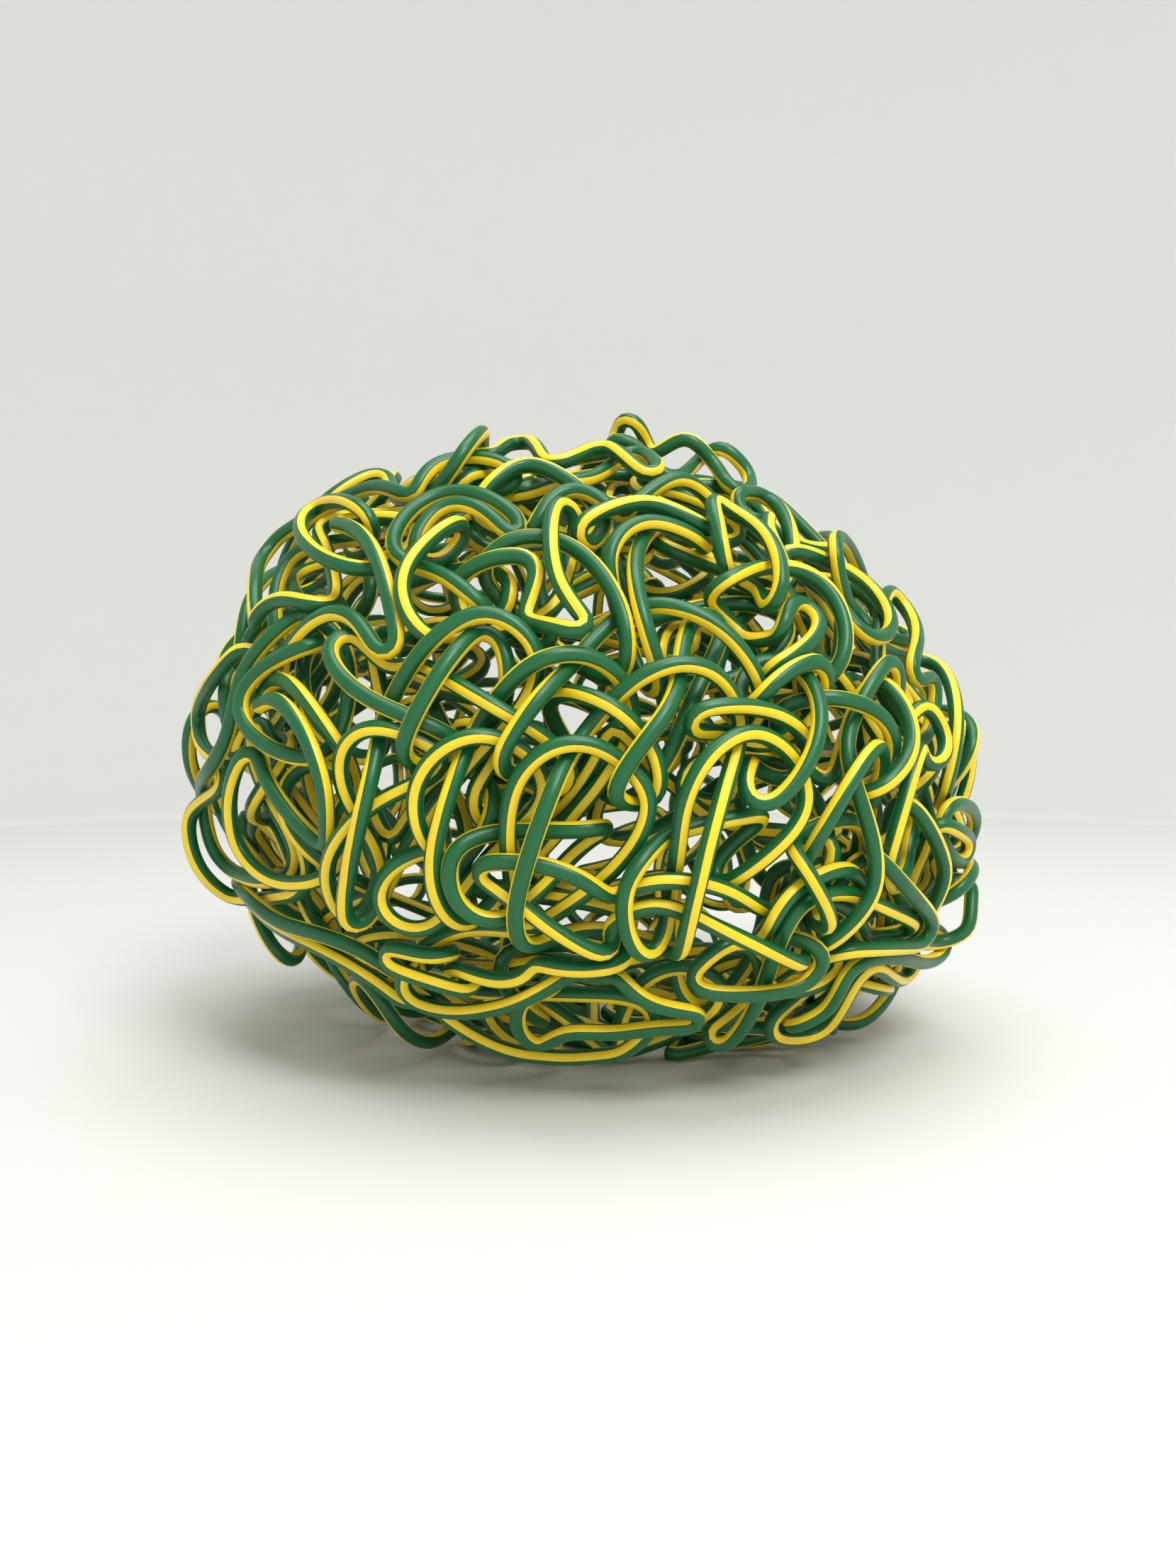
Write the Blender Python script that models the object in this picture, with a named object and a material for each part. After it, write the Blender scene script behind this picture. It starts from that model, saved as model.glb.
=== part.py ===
import math

import bpy
import numpy as np

for thing in list(bpy.data.objects):
    bpy.data.objects.remove(thing, do_unlink=True)

mm = 0.001

# The cord: a round, stiff, two-colour rubber cord, looped into endless bands.
cord_diameter = 3.7 * mm
cord_gap = 0.3 * mm
tightest_bend_radius = 2.6 * mm

# The ball: a lumpy hollow shell, wider than high, its long axis tipped to the right.
shell_half_width = 108.0 * mm
shell_half_depth = 100.0 * mm
shell_half_height = 88.5 * mm
shell_centre_height = 73.0 * mm
shell_tip_degrees = 14.2

# Where the front was read from: the eye, and the upright plane that the routes lie on.
eye_distance = 335.0 * mm
eye_height = 87.5 * mm
reading_plane_front = 20.0 * mm
read_half_width = 108.0 * mm
read_half_height = 88.5 * mm
read_centre_height = 73.0 * mm

# The back, which has the same looping in a regular layout of lobed bands.
back_band_count = 17
back_band_radius = 46.0 * mm
back_lobes = 5

# The front's own inner layer, seen dark through its gaps.
inner_band_count = 8
inner_band_radius = 44.0 * mm
inner_lobes = 4
inner_share = 0.87

# What the lobed bands share: how deep their lobes are and how far they weave out and in.
lobe_share = 0.5
mean_layer = -0.6
layer_swing = 1.1
spiral_overlap = 0.14
layout_seed = 7

# How finely the bands are drawn.
front_turn_per_point = math.radians(58.0)
front_length_per_point = 26.0 * mm
far_turn_per_point = math.radians(70.0)
far_length_per_point = 36.0 * mm

# How the bands settle against one another: shares of each error mended in a round, and ranges.
settling_rounds = 420
holding_share = 0.7
push_share = 1.15
bend_share = 0.12
shape_share = 0.12
across_sight_share = 0.03
along_sight_share = 0.004
lonely_share = 0.25
watch_distance = 3.0 * mm
settled_margin = 0.02 * mm
lonely_margin = 0.1 * mm
bend_span = 1.9 * tightest_bend_radius
bend_room_share = 0.42

# Deeper than this layer a front strand is out of sight, and tucks in further at the ball's edge.
hidden_layer = 0.6

cord_radius = cord_diameter / 2
layer_step = cord_diameter + cord_gap
front_eye = np.array([0.0, -eye_distance, eye_height])

# Each route is one strand of the front: x and z in mm on the reading plane, then its layer.
# Layer 1 is one cord out from the shell, and minus numbers are inside it, out of sight.
routes = {
    "tongueDArchA": [
        (-64.5, 28.5, 0.7), (-66, 33, 1), (-65, 42, 1), (-63, 52, 1), (-60.5, 62, 1), (-58, 73, 0.6),
        (-57, 80, -0.3), (-56.5, 84, -0.9), (-55, 89, -0.9), (-52, 94.5, -0.5), (-47.5, 101, 0.2),
        (-41.5, 107.5, 0.4), (-34.5, 112.5, 0.5), (-27, 115, 0.5), (-20, 113.5, 0.4),
        (-14.5, 109, 0.2), (-12, 102.5, -0.1), (-13.5, 95.5, -0.8), (-17.5, 89, -1.2),
        (-21.5, 83, -1.8), (-28, 76, -2.3), (-38, 66, -2.4), (-47, 54, -2.2), (-54, 42, -2),
        (-58, 33, -1.2), (-61, 28.5, 0)],
    "tongueCArchB": [
        (-33, 30.8, -0.6), (-37, 32.3, 0.4), (-40.3, 37, 0.8), (-41.5, 45, 1), (-40.3, 54, 1),
        (-38, 64, 1), (-35.5, 73, 0.5), (-33.5, 79, -0.4), (-32, 83, -1), (-29, 88, -1),
        (-26, 91.5, -0.8), (-22.5, 95, -0.2), (-17, 99.5, 0.2), (-10.5, 103, 0.4), (-3, 104.8, 0.5),
        (3.5, 103, 0.3), (9, 98.8, 0), (12, 94.5, -0.6), (14, 88, -1.2), (12, 80, -1.8), (5, 70, -2.3),
        (-5, 58, -2.5), (-15, 46, -2.4), (-24, 37, -2), (-29, 32, -1.4)],
    "tongueFArchETongueI": [
        (-13.5, 25, -0.4), (-17.3, 26, 0.6), (-19, 31.5, 0.9), (-17.8, 40, 1), (-15, 50, 1),
        (-12, 60, 1), (-8.8, 68.5, 0.9), (-5.5, 76, 0.2), (-3.5, 80, -0.8), (0, 85, -0.7),
        (4, 91, -0.6), (9, 96, 0), (15.5, 100.3, 0.4), (24, 102.5, 0.6), (32, 101.5, 0.5),
        (38, 97.5, 0.2), (41, 92, -0.5), (42, 86, -0.9), (41.5, 80, -0.4), (38.8, 72, 0.4),
        (36, 62, 1), (32.5, 50, 1), (30, 40, 1), (27.8, 31, 0.9), (26.5, 25.5, 0.6), (26, 23, -0.4),
        (20, 24, -1.6), (10, 28, -2), (0, 30, -2), (-8, 28, -1.4)],
    "tongueBArchH": [
        (-19.5, 72, -0.6), (-22.5, 73.5, 0.4), (-23.2, 77, 0.8), (-20, 82.5, 0.9), (-14.5, 90, 0.9),
        (-8.5, 96.5, 0.8), (-4, 101, 0.2), (-1.5, 104.5, -0.5), (2, 108.5, -0.8), (6.5, 112.5, -0.7),
        (11, 116, -0.8), (15.5, 117.5, -0.8), (21, 117, -0.2), (28, 115, 0), (35.5, 111, 0.1),
        (42, 105.5, 0.2), (46.5, 99, 0.1), (48.5, 92.5, -0.4), (47, 86, -1.2), (40, 82, -2.2),
        (28, 84, -2.4), (12, 82, -2.4), (-4, 76, -2.4), (-13, 72, -1.8)],
    "hookRound": [
        (50, 79.5, -0.9), (45.5, 75.5, -0.4), (43, 69.5, 0), (44, 64.8, 0.3), (48, 62.8, 0.5),
        (54, 66, 0.6), (60, 74, 0.8), (63.5, 83, 0.8), (63.8, 90, 0.5), (61, 97, -0.5),
        (56.5, 101.5, -1.3), (50, 102, -1.9), (44, 97, -2), (42.5, 90.5, -1.8), (44.5, 88.5, -1.2),
        (47.3, 92.8, -0.2), (51, 97, 0.2), (56, 101, 0.4), (61, 102.3, 0.5), (65, 100.3, 0.3),
        (65.5, 95.8, -0.5), (62, 89, -1.4), (56, 83.5, -1.4)],
    "archG": [
        (38, 84.5, -0.9), (33, 83, -0.3), (28, 83, 0), (25, 85.5, 0.3), (26.5, 88.5, 0.4),
        (31.5, 90.2, 0.4), (38, 91, 0.4), (45, 91, 0.4), (52, 89.3, 0.3), (57.5, 86, 0.2),
        (61, 81.5, -0.5), (61, 74, -1.5), (54, 70, -2.2), (46, 74, -2.2), (41, 80, -1.6)],
    "archCHookBL1": [
        (-11.5, 64.5, -1.4), (-11.2, 70.5, -1.1), (-14, 76, -1), (-18.5, 79.3, -0.7),
        (-23, 81.5, -0.2), (-27.5, 82.3, 0.2), (-34, 80.8, 0.4), (-40.5, 76.5, 0.4), (-45, 70, 0.3),
        (-46.3, 63, 0.3), (-45, 56.5, 0.2), (-42, 51.5, -0.3), (-37.5, 47.5, -1), (-34.5, 50, -1.6),
        (-38, 52.3, -1.1), (-43, 50.8, -0.4), (-49, 48.8, 0.1), (-54, 45, 0.4), (-56.3, 39, 0.5),
        (-54.3, 33, 0.6), (-48.5, 29.5, 0.6), (-42, 29.3, 0.5), (-38, 32, -0.2), (-34.5, 38, -1.2),
        (-28, 48, -2), (-20, 57, -2), (-14, 60, -1.8)],
    "archDStrandC": [
        (-44, 80.3, -0.9), (-48, 82.7, -0.3), (-52.5, 84.3, 0.2), (-57.5, 84.5, 0.3),
        (-62.5, 82.3, 0.3), (-66, 77.5, 0.3), (-67, 71, 0.3), (-65.5, 65, 0.2), (-62, 59.5, -0.2),
        (-58, 54, -0.8), (-55.5, 47, -1.5), (-58, 38, -1.8), (-62, 32, -1), (-66, 33, -0.4),
        (-70, 39.5, 0.1), (-71.3, 47, 0.3), (-69, 54, 0.4), (-64, 60, 0), (-60.5, 63, -0.5),
        (-57.5, 65, -0.4), (-52, 67.8, -0.3), (-46, 70, -0.6), (-40, 73, -1.2), (-38, 78, -1.5)],
    "tongueA": [
        (-44, 76, -0.5), (-47.5, 76.7, 0.4), (-48.8, 81, 0.9), (-45.5, 88.5, 1.1), (-41, 96.5, 1),
        (-36, 104.5, 0.7), (-31.8, 110.5, -0.2), (-28.5, 113, -0.9), (-25, 111.5, -0.9),
        (-22.3, 106, -0.6), (-21.2, 99, -0.6), (-22, 92, -1.2), (-26, 84, -2), (-34, 78, -2),
        (-40, 75.5, -1.3)],
    "hookZ": [
        (-55, 101.5, -1.2), (-58, 107, -1), (-62.5, 110.5, -0.4), (-66.5, 110.2, 0.3),
        (-69, 106.5, 0.5), (-67.5, 101, 0.6), (-63.5, 96.5, 0.6), (-57.5, 92.3, 0.5), (-51, 89, 0.3),
        (-46, 87, -0.1), (-41, 85, -0.3), (-35.5, 82.3, -0.7), (-31, 80, -1.4), (-33, 86, -2.2),
        (-42, 94, -2.2), (-50, 99, -1.8)],
    "strandS2": [
        (-45, 102.5, -1), (-39, 99.5, -0.3), (-35, 97.3, 0.1), (-27.5, 93, 0.2), (-19, 88.3, 0),
        (-13.5, 85, -0.4), (-8, 81, -0.9), (-3, 75, -1.6), (-6, 68, -2.2), (-16, 70, -2.4),
        (-26, 76, -2.4), (-38, 84, -2.4), (-48, 94, -2.2), (-49.5, 100, -1.6)],
    "strandS3": [
        (-8, 97.5, -0.7), (-3.5, 97.3, 0), (3, 94.8, 0.4), (9.5, 91, 0.4), (15, 86, 0.1),
        (19, 80, -0.5), (21.5, 73.5, -0.4), (21, 66.5, -0.6), (17, 61, -1.5), (10, 62, -2.3),
        (2, 70, -2.5), (-5, 80, -2.5), (-11, 90, -1.9)],
    "tongueE": [
        (14, 64, -0.6), (10.3, 63.7, 0.3), (8.3, 66.5, 0.8), (9.5, 71, 0.9), (13.5, 77.5, 0.9),
        (19, 85, 0.9), (24, 92, 0.8), (26.3, 98, 0.2), (26.5, 103, -0.5), (27, 109, -0.3),
        (29, 114.5, -0.8), (33, 118, -1.4), (38, 116, -2), (36, 106, -2.4), (30, 94, -2.4),
        (24, 82, -2.4), (20, 70, -2)],
    "archF": [
        (-19.7, 43, -1), (-20.5, 48, -0.7), (-21.6, 54, -0.1), (-22, 60, 0.3), (-21, 66, 0.4),
        (-18, 72, 0.5), (-13.5, 76.8, 0.5), (-7.5, 79.8, 0.5), (-1, 80.6, 0.5), (5, 79, 0.4),
        (10, 75.3, -0.1), (14.5, 71, 0), (17.7, 65, 0.2), (18.5, 58.5, 0.1), (17, 52.5, -0.1),
        (13.5, 47.5, -0.3), (9, 43.5, -0.6), (4.5, 40, -0.9), (-1.5, 36.2, -0.5), (-8, 31.8, -0.6),
        (-13, 28.5, -1.4), (-18, 31, -1.9), (-19.5, 37, -1.7)],
    "strandH1": [
        (20, 62.5, -1.2), (15, 60.8, -0.7), (8, 58.7, -0.3), (0, 57, -0.2), (-9, 56, -0.2),
        (-16, 55.8, -0.3), (-22, 55.5, -0.6), (-28, 54.5, 0.2), (-33.5, 51.5, 0.5), (-36.5, 46, 0.6),
        (-36, 40, 0.6), (-32.5, 35, 0.6), (-27.5, 32.2, 0.5), (-22.5, 33.8, 0), (-18, 37, -1),
        (-12, 44, -2), (-4, 52, -2.3), (8, 60, -2.3), (17, 65, -2)],
    "loopBL34": [
        (-38, 45, -1), (-35, 47.3, -0.5), (-30, 48.3, 0), (-24, 48.5, 0.1), (-18, 48.3, 0),
        (-11, 47.3, -0.1), (-4, 44.7, 0), (2, 41.5, 0), (7.5, 37.5, -0.4), (11.5, 32.5, -1),
        (13, 28, -1.1), (10, 25.8, -0.5), (4, 25, 0), (-3, 26.6, 0.2), (-9.5, 30.3, 0.2),
        (-15, 34.5, 0), (-20, 38, 0), (-25, 41.2, 0), (-30.5, 43.3, -0.2), (-36, 42.8, -0.7)],
    "archIHookJ": [
        (53.5, 62.5, -1), (48, 61.3, -0.6), (42, 60, -0.4), (36, 59.2, -0.5), (30, 57.5, -0.4),
        (25, 55.8, -0.7), (20.5, 53.8, 0), (15.5, 50, 0.5), (11.8, 44, 0.7), (10.5, 37, 0.8),
        (11.3, 30, 0.8), (13.8, 24.5, 0.7), (17.5, 21.5, 0.5), (20.7, 24, 0), (22.3, 29.5, -0.4),
        (22.8, 35, -1), (23, 42, -0.9), (23.5, 49, 0), (24, 57, 0.3), (25.2, 64, 0.4),
        (28.5, 71.5, 0.5), (34, 78, 0.5), (40, 82, 0.5), (46, 83.2, 0.5), (52, 80.8, 0.3),
        (57, 76, -0.1), (60.2, 70, 0), (61, 63.5, 0.1), (59, 57, 0.2), (54.5, 51.5, 0.3),
        (48.5, 46.5, 0.1), (42.5, 41.5, -0.3), (37.5, 37, -0.8), (33, 33.5, -1.1), (31, 38, -1.9),
        (36, 48, -2.3), (46, 57, -2)],
    "loopS56": [
        (1, 25.5, -1.3), (4, 30, -0.8), (6, 35.5, -0.2), (11, 39.8, -0.1), (17, 43, 0.1),
        (24, 44.2, 0.1), (31, 43.8, 0), (37, 41.8, 0), (43, 38, 0), (48.5, 33, -0.4), (54, 30, -1.2),
        (60, 27, -1.3), (62, 23.5, -0.6), (59.5, 21.8, 0.4), (54, 23.8, 0.7), (46, 26.8, 0.7),
        (38, 29.8, 0.6), (31, 32, 0.3), (25, 35.5, 0.1), (19, 36.5, 0.2), (13, 35.5, 0), (8, 33, 0),
        (4.5, 28.5, -0.2), (3, 24, -0.9)],
    "hookRG": [
        (57, 29.3, -0.9), (61, 27.8, 0.2), (64.5, 24.5, 0.7), (64.8, 20, 0.7), (61, 15.8, 0.6),
        (54, 13, 0.5), (46, 12, 0.4), (38, 12, 0.3), (31, 12.6, 0.2), (25.5, 10.5, -0.5),
        (23.5, 12, -1.3), (27, 14.5, -1.1), (31, 18.5, -0.4), (35.5, 23, -0.2), (41, 26.3, -0.5),
        (48, 28.5, -1.2)],
    "strandYA2": [
        (27.5, 2, -0.4), (29.5, -1.5, 0), (34, -3, 0.2), (39, -1.5, 0.3), (44, 3.5, 0.2), (47.5, 9, 0),
        (50, 16, -0.1), (51.8, 23, 0), (54, 30.5, 0.3), (58, 36, 0.3), (62.5, 38.8, 0), (68, 40, 0.1),
        (74, 39.8, 0), (80, 37.3, 0.2), (86, 34.3, 0.4), (91, 31, 0.3), (91.5, 28.5, -0.5),
        (86, 28, -1.5), (76, 28, -2), (64, 24, -2.2), (52, 17, -2.2), (42, 9, -2), (33, 4, -1.4)],
    "strandYA1": [
        (48.5, 24, -1.1), (49, 31, 0), (51.5, 37, 0.3), (55.5, 41.5, 0.3), (60.5, 44, 0),
        (65, 46.3, 0.2), (70, 47.2, 0.3), (74.5, 44.3, -0.1), (76.3, 39, -0.8), (76, 31, -1.2),
        (74, 24.5, -0.7), (72, 19, 0.1), (68.5, 14.8, 0.3), (63, 12.3, 0.2), (56.5, 11.5, -0.4),
        (50.5, 13.5, -1.1), (48, 18.5, -1.2)],
    "tongueP2": [
        (61.5, 31.5, -0.9), (63, 28.8, -0.2), (65.8, 28.3, 0.6), (66.8, 31, 1), (64.8, 37, 1),
        (61, 43.8, 1), (57.8, 49.8, 0.5), (56, 53, -0.6), (59, 55.5, -0.9), (64, 58.5, -0.7),
        (70, 60.5, -0.8), (74, 61, -1.2), (78, 56, -1.8), (76, 46, -2.2), (68, 38, -2.2)],
    "hairpinLX": [
        (58.5, 44.5, -0.9), (61, 50, 0), (64.5, 57, 0.6), (68.5, 64.5, 0.9), (73, 72.5, 1),
        (77.5, 79, 0.9), (80, 79.5, 0.3), (80.8, 75, -0.5), (79, 68, -1), (75, 60, -1.6), (69, 52, -2),
        (62, 45, -1.8)],
    "strandYY": [
        (84, 96, -0.6), (84.2, 100.3, 0.2), (82, 102.7, 0.8), (79, 98.3, 0.7), (76.3, 93.3, 0.2),
        (74, 88.5, -0.5), (72.3, 83, -0.2), (71.6, 77.5, -0.2), (73, 72, -0.4), (76, 65.5, 0.2),
        (78.3, 57, 0.4), (79.5, 49, 0.4), (78.5, 42, 0.4), (75, 35.5, 0.4), (70, 30, 0.3),
        (65.5, 26.3, -0.2), (61, 24.5, -1.2), (61, 34, -2.3), (66, 48, -2.6), (71, 62, -2.6),
        (77, 76, -2.5), (83, 88, -2)],
    "brightArc": [
        (78.5, 100, -1), (81.5, 97.3, -0.2), (85.5, 92.7, 0.5), (88, 86.3, 0.8), (87.8, 79.5, 0.8),
        (84.5, 73, 0.8), (79.5, 68.5, 0.5), (75, 66, -0.3), (70, 63, -0.9), (67, 66, -1.8),
        (68, 76, -2.2), (72, 88, -2.2), (75.5, 97, -1.8)],
    "strandS2R": [
        (53, 92, -1.3), (58, 94.3, -0.9), (63, 94.8, -0.1), (68.5, 94.2, 0.3), (75, 91.8, 0.5),
        (80.5, 88, 0.4), (83.8, 82.5, 0.1), (83.8, 77, -0.5), (81, 71, -1.3), (75, 68, -2),
        (66, 70, -2.3), (58, 76, -2.3), (52, 84, -2.1)],
    "archTR2": [
        (34, 123.5, -0.7), (39, 127, 0), (45, 129, 0), (52, 128.7, -0.2), (58.5, 126.3, 0.3),
        (64.5, 121, 0.4), (68.8, 114, 0.5), (70, 107, 0.4), (68.8, 101, 0.2), (65.5, 97, -0.6),
        (60, 96, -1.5), (52, 100, -2.2), (44, 108, -2.4), (36, 116, -2.2), (32, 120.5, -1.4)],
    "tongueTR34": [
        (40.5, 124, -0.7), (38.3, 129, 0.3), (35.5, 136, 0.6), (32.8, 142.5, 0.7), (33.7, 146, 0.5),
        (36.3, 144, -0.1), (38, 141.3, -0.1), (41.5, 139.8, 0.3), (46.3, 135.5, 0.5), (50, 128.8, 0.7),
        (52, 121, 0.7), (51.7, 115, 0.5), (49.8, 112.8, 0.1), (48, 116.5, -0.6), (46.5, 122, -1.3),
        (43.5, 123, -1.4)],
    "archTR1": [
        (47, 132.5, -1.2), (52, 133.3, -0.4), (59, 132.2, 0.2), (66, 130.5, 0.4), (73, 126.5, 0.4),
        (79, 120.5, 0.4), (82.7, 114, 0.3), (82, 109.5, 0), (78, 108.5, -0.4), (73.5, 111, -0.5),
        (70.5, 115.5, -0.8), (66, 121, -1.3), (58, 126, -2), (50, 129, -2)],
    "hookHK": [
        (54, 103.5, -0.9), (53, 109, -0.2), (54.5, 115, -0.1), (58.5, 120, -0.3), (63, 121.5, -0.8),
        (66, 118, -1.3), (62, 116.3, -0.4), (64.7, 113, 0.2), (63, 109, 0.4), (57.5, 104.8, 0.5),
        (51.5, 101.5, 0.3), (46.5, 100, -0.5), (43, 104, -1.4), (47, 110, -1.8), (52, 107, -1.6)],
    "hairpinTR79": [
        (38.5, 146.5, -1), (43, 148, 0.2), (49, 146.5, 0.3), (54, 142, 0.3), (57, 136, 0),
        (58, 130, -0.7), (57.5, 125, -1.2), (54.5, 126.5, -1), (52.3, 131.5, 0.1), (49.5, 136.5, 0.4),
        (48.7, 140.3, 0.4), (50.5, 142, 0.1), (51.5, 139.5, -0.6), (47.5, 139, -1.4),
        (41.5, 142.5, -1.7)],
    "archLStrandK": [
        (33.5, 134, -0.5), (27.5, 137.8, 0.3), (20, 139.5, 0.4), (13, 138.3, 0.4), (8, 134, 0.3),
        (6, 128.5, -0.1), (7.5, 122, -0.8), (10, 114, -1.7), (14, 102, -2.1), (18, 92, -2),
        (21.5, 90, -1.5), (21, 96, -1), (19, 102.5, -0.4), (16.5, 110, 0.3), (14, 119, 0.4),
        (13, 127, 0.2), (14, 133.5, -0.5), (17, 138, -1.2), (24, 140, -1.6), (31, 137, -1.3)],
    "archONStrand": [
        (12, 106, -0.1), (11.5, 113, 0.2), (9, 120.5, 0.2), (4.5, 127.5, 0.2), (-1, 132.3, 0),
        (-6, 135, -0.3), (-12, 136.7, 0.2), (-19, 136, 0.3), (-24, 133, 0.2), (-27, 129.5, -0.4),
        (-27, 124, -1.2), (-20, 116, -2), (-8, 106, -2.2), (4, 98, -2), (10, 98, -1.3)],
    "hairpinMHk": [
        (-1, 141.5, -0.4), (-4, 144.8, 0.2), (-7.2, 145, 0.6), (-8.7, 140, 0.8), (-8.5, 132, 0.9),
        (-7, 124.5, 0.8), (-3.5, 118.5, 0.5), (1, 114.3, 0.2), (5.5, 111.5, -0.3), (10.5, 110.5, -0.9),
        (13.5, 109, -1.2), (10.5, 107, -0.9), (5, 106.3, 0), (-1, 107, 0.2), (-6.5, 109.2, 0.2),
        (-9.3, 112, -0.3), (-8, 115.5, -1), (-5, 122, -1.6), (-3, 132, -1.8), (-1, 138, -1.2)],
    "archP": [
        (-33, 125.5, -0.2), (-31, 128, 0.1), (-25, 130.3, 0.3), (-18.5, 131.3, 0.3), (-13.5, 129.5, 0),
        (-13, 124, -0.3), (-15, 117.5, -0.7), (-19, 111, -1.4), (-26, 110, -2), (-33, 116, -1.9),
        (-35, 122, -1.2)],
    "hookS0ArchR": [
        (-32.5, 139.7, -0.8), (-38, 136.5, 0), (-44, 131.5, 0.5), (-48.8, 125, 0.7), (-50, 118, 0.7),
        (-47.5, 112.5, 0.5), (-42.5, 108.7, -0.1), (-36.5, 107, -1), (-29, 110, -1.8), (-21, 118, -2),
        (-17, 127, -1.6), (-18.5, 134, -0.9), (-23.5, 140.3, 0.3), (-30, 144.3, 0.5),
        (-37.5, 144, 0.5), (-43.3, 139.7, 0.4), (-46, 133.5, -0.2), (-45.8, 129, -0.8),
        (-42, 127.5, -1.5), (-36, 131, -1.9), (-31, 137, -1.6)],
    "archQStrandU": [
        (-52.5, 131.5, -0.3), (-50.3, 138, 0), (-44.8, 144, 0), (-37, 147.3, 0), (-29.5, 147, 0),
        (-22, 143, 0), (-15.8, 137.3, -0.4), (-13, 131, -1.3), (-16, 123, -2), (-21, 116, -1.8),
        (-25.5, 116.5, -0.8), (-32, 122.3, 0.2), (-38.5, 127, 0.1), (-45, 129.2, -0.5),
        (-50, 128, -1)],
    "hookV": [
        (-52, 140.3, -0.5), (-58, 143, 0.2), (-65, 144.7, 0.5), (-72, 143.3, 0.6), (-75.3, 138.7, 0.7),
        (-73.3, 133, 0.7), (-67.5, 129.3, 0.6), (-61, 127.7, 0.4), (-55, 127.9, -0.4),
        (-49.5, 130, -0.8), (-46, 134.5, -1), (-47, 138.5, -1)],
    "strandWArchX": [
        (-71.5, 139, -0.4), (-64.5, 138.7, 0.2), (-58.7, 134.8, 0.5), (-54.5, 127.5, 0.8),
        (-51.8, 119.5, 0.7), (-50.3, 112, 0.5), (-49.3, 105.5, 0), (-48.7, 99, -0.8),
        (-50, 93.5, -1.3), (-52.8, 93.5, -0.7), (-53.5, 100.5, 0.4), (-56.3, 107.5, 0.5),
        (-61, 113.3, 0.5), (-67, 115.8, 0.4), (-73, 113.5, 0.3), (-77.3, 109.3, 0), (-80, 104, -0.9),
        (-83, 108, -1.8), (-84, 116, -2), (-82, 126, -2), (-77, 134, -1.5)],
    "hookY": [
        (-66, 109, -1), (-71, 107.7, 0), (-78, 105.5, 0.4), (-85.5, 101, 0.6), (-91, 94.5, 0.7),
        (-92.3, 88, 0.7), (-89, 82, 0.7), (-83, 78, 0.5), (-76.5, 76, 0), (-70, 77, -0.8),
        (-66, 83, -1.8), (-64, 92, -2.2), (-63, 101, -2)],
    "strandsAABB": [
        (-88.8, 89.5, -0.3), (-86.5, 93, 0.4), (-82, 92, 0.6), (-77.7, 86.5, 0.8), (-73.5, 78.5, 0.8),
        (-70.5, 70.5, 0.7), (-69.3, 62.5, 0.4), (-69.3, 55, -0.3), (-69.5, 48, -1.2), (-65, 50, -2),
        (-62, 60, -2.2), (-62, 70, -1.6), (-63.5, 75, -0.8), (-66.7, 79.5, 0), (-71, 86, 0.4),
        (-76, 92.3, 0.4), (-81, 97.7, 0), (-85.5, 98.5, -0.8), (-89.5, 95, -1.1)],
    "hookGG": [
        (-87, 83, -0.8), (-90.5, 80, 0.2), (-94.3, 74.5, 0.6), (-96.3, 67, 0.7), (-96.3, 59, 0.7),
        (-94, 51.5, 0.6), (-89, 45.3, 0.5), (-82.5, 42, 0.4), (-76, 42.2, 0), (-71, 43.5, -0.6),
        (-67, 46, -1.5), (-70, 52, -1.3), (-75, 55, -0.5), (-79, 60, -0.2), (-84, 67, -0.1),
        (-87.5, 73, -0.3), (-88.3, 79, -0.9)],
    "strandEE": [
        (-77, 116, -0.9), (-81.5, 111.5, -0.2), (-87, 106, 0.1), (-91.7, 100, 0.2), (-94.2, 93, 0.3),
        (-94.5, 86, 0.3), (-97, 79, 0.4), (-101, 72, 0.5), (-104, 64.5, 0.5), (-104, 57, 0.5),
        (-101.5, 50, 0.4), (-96.5, 45.3, 0.2), (-90, 42.5, -0.4), (-82, 42, -1.2), (-78, 50, -2.2),
        (-84, 62, -2.4), (-90, 76, -2.3), (-89, 92, -2.3), (-84, 106, -2), (-78, 113.5, -1.5)],
    "strandCCLB1": [
        (-90, 108, -0.8), (-97, 102, 0), (-102.3, 95, 0.2), (-105.3, 87, 0.2), (-104.8, 79.5, 0.1),
        (-101.3, 74.5, -0.3), (-97.3, 72, -1), (-98.5, 69.5, -1.2), (-103.3, 67.5, -0.4),
        (-106.5, 61.5, 0), (-107.5, 55, 0.1), (-105.5, 48, 0.1), (-101, 42.5, 0.1), (-95, 39.5, 0),
        (-88, 38.8, -0.2), (-80, 39.5, -0.6), (-75, 44, -1.4), (-78, 56, -2.4), (-84, 72, -2.6),
        (-87, 90, -2.6), (-85, 102, -2)],
    "archDDLA1": [
        (-90.5, 100, -0.8), (-91.5, 106, 0.1), (-89.8, 112, 0.3), (-85.5, 116.3, 0.4),
        (-80, 117.7, 0.4), (-74.5, 116, 0.2), (-69.5, 112.3, -0.7), (-66.5, 118, -1.7),
        (-67.5, 129, -1.9), (-71, 138, -1.2), (-75.5, 139.7, -0.2), (-80.7, 137, 0.2),
        (-85.7, 131, 0.2), (-87.8, 124, 0), (-87.5, 117, -0.7), (-85.5, 109, -1.6), (-87, 102, -1.6)],
    "archLA3TA10": [
        (-66, 145, -0.8), (-60.5, 147.7, 0), (-54.5, 149, 0.2), (-49, 147, 0.1), (-44.5, 142, -0.8),
        (-41, 143, -1.5), (-43.5, 148, -0.7), (-40, 151.7, 0), (-34, 155, 0.2), (-27, 156, 0.2),
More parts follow.
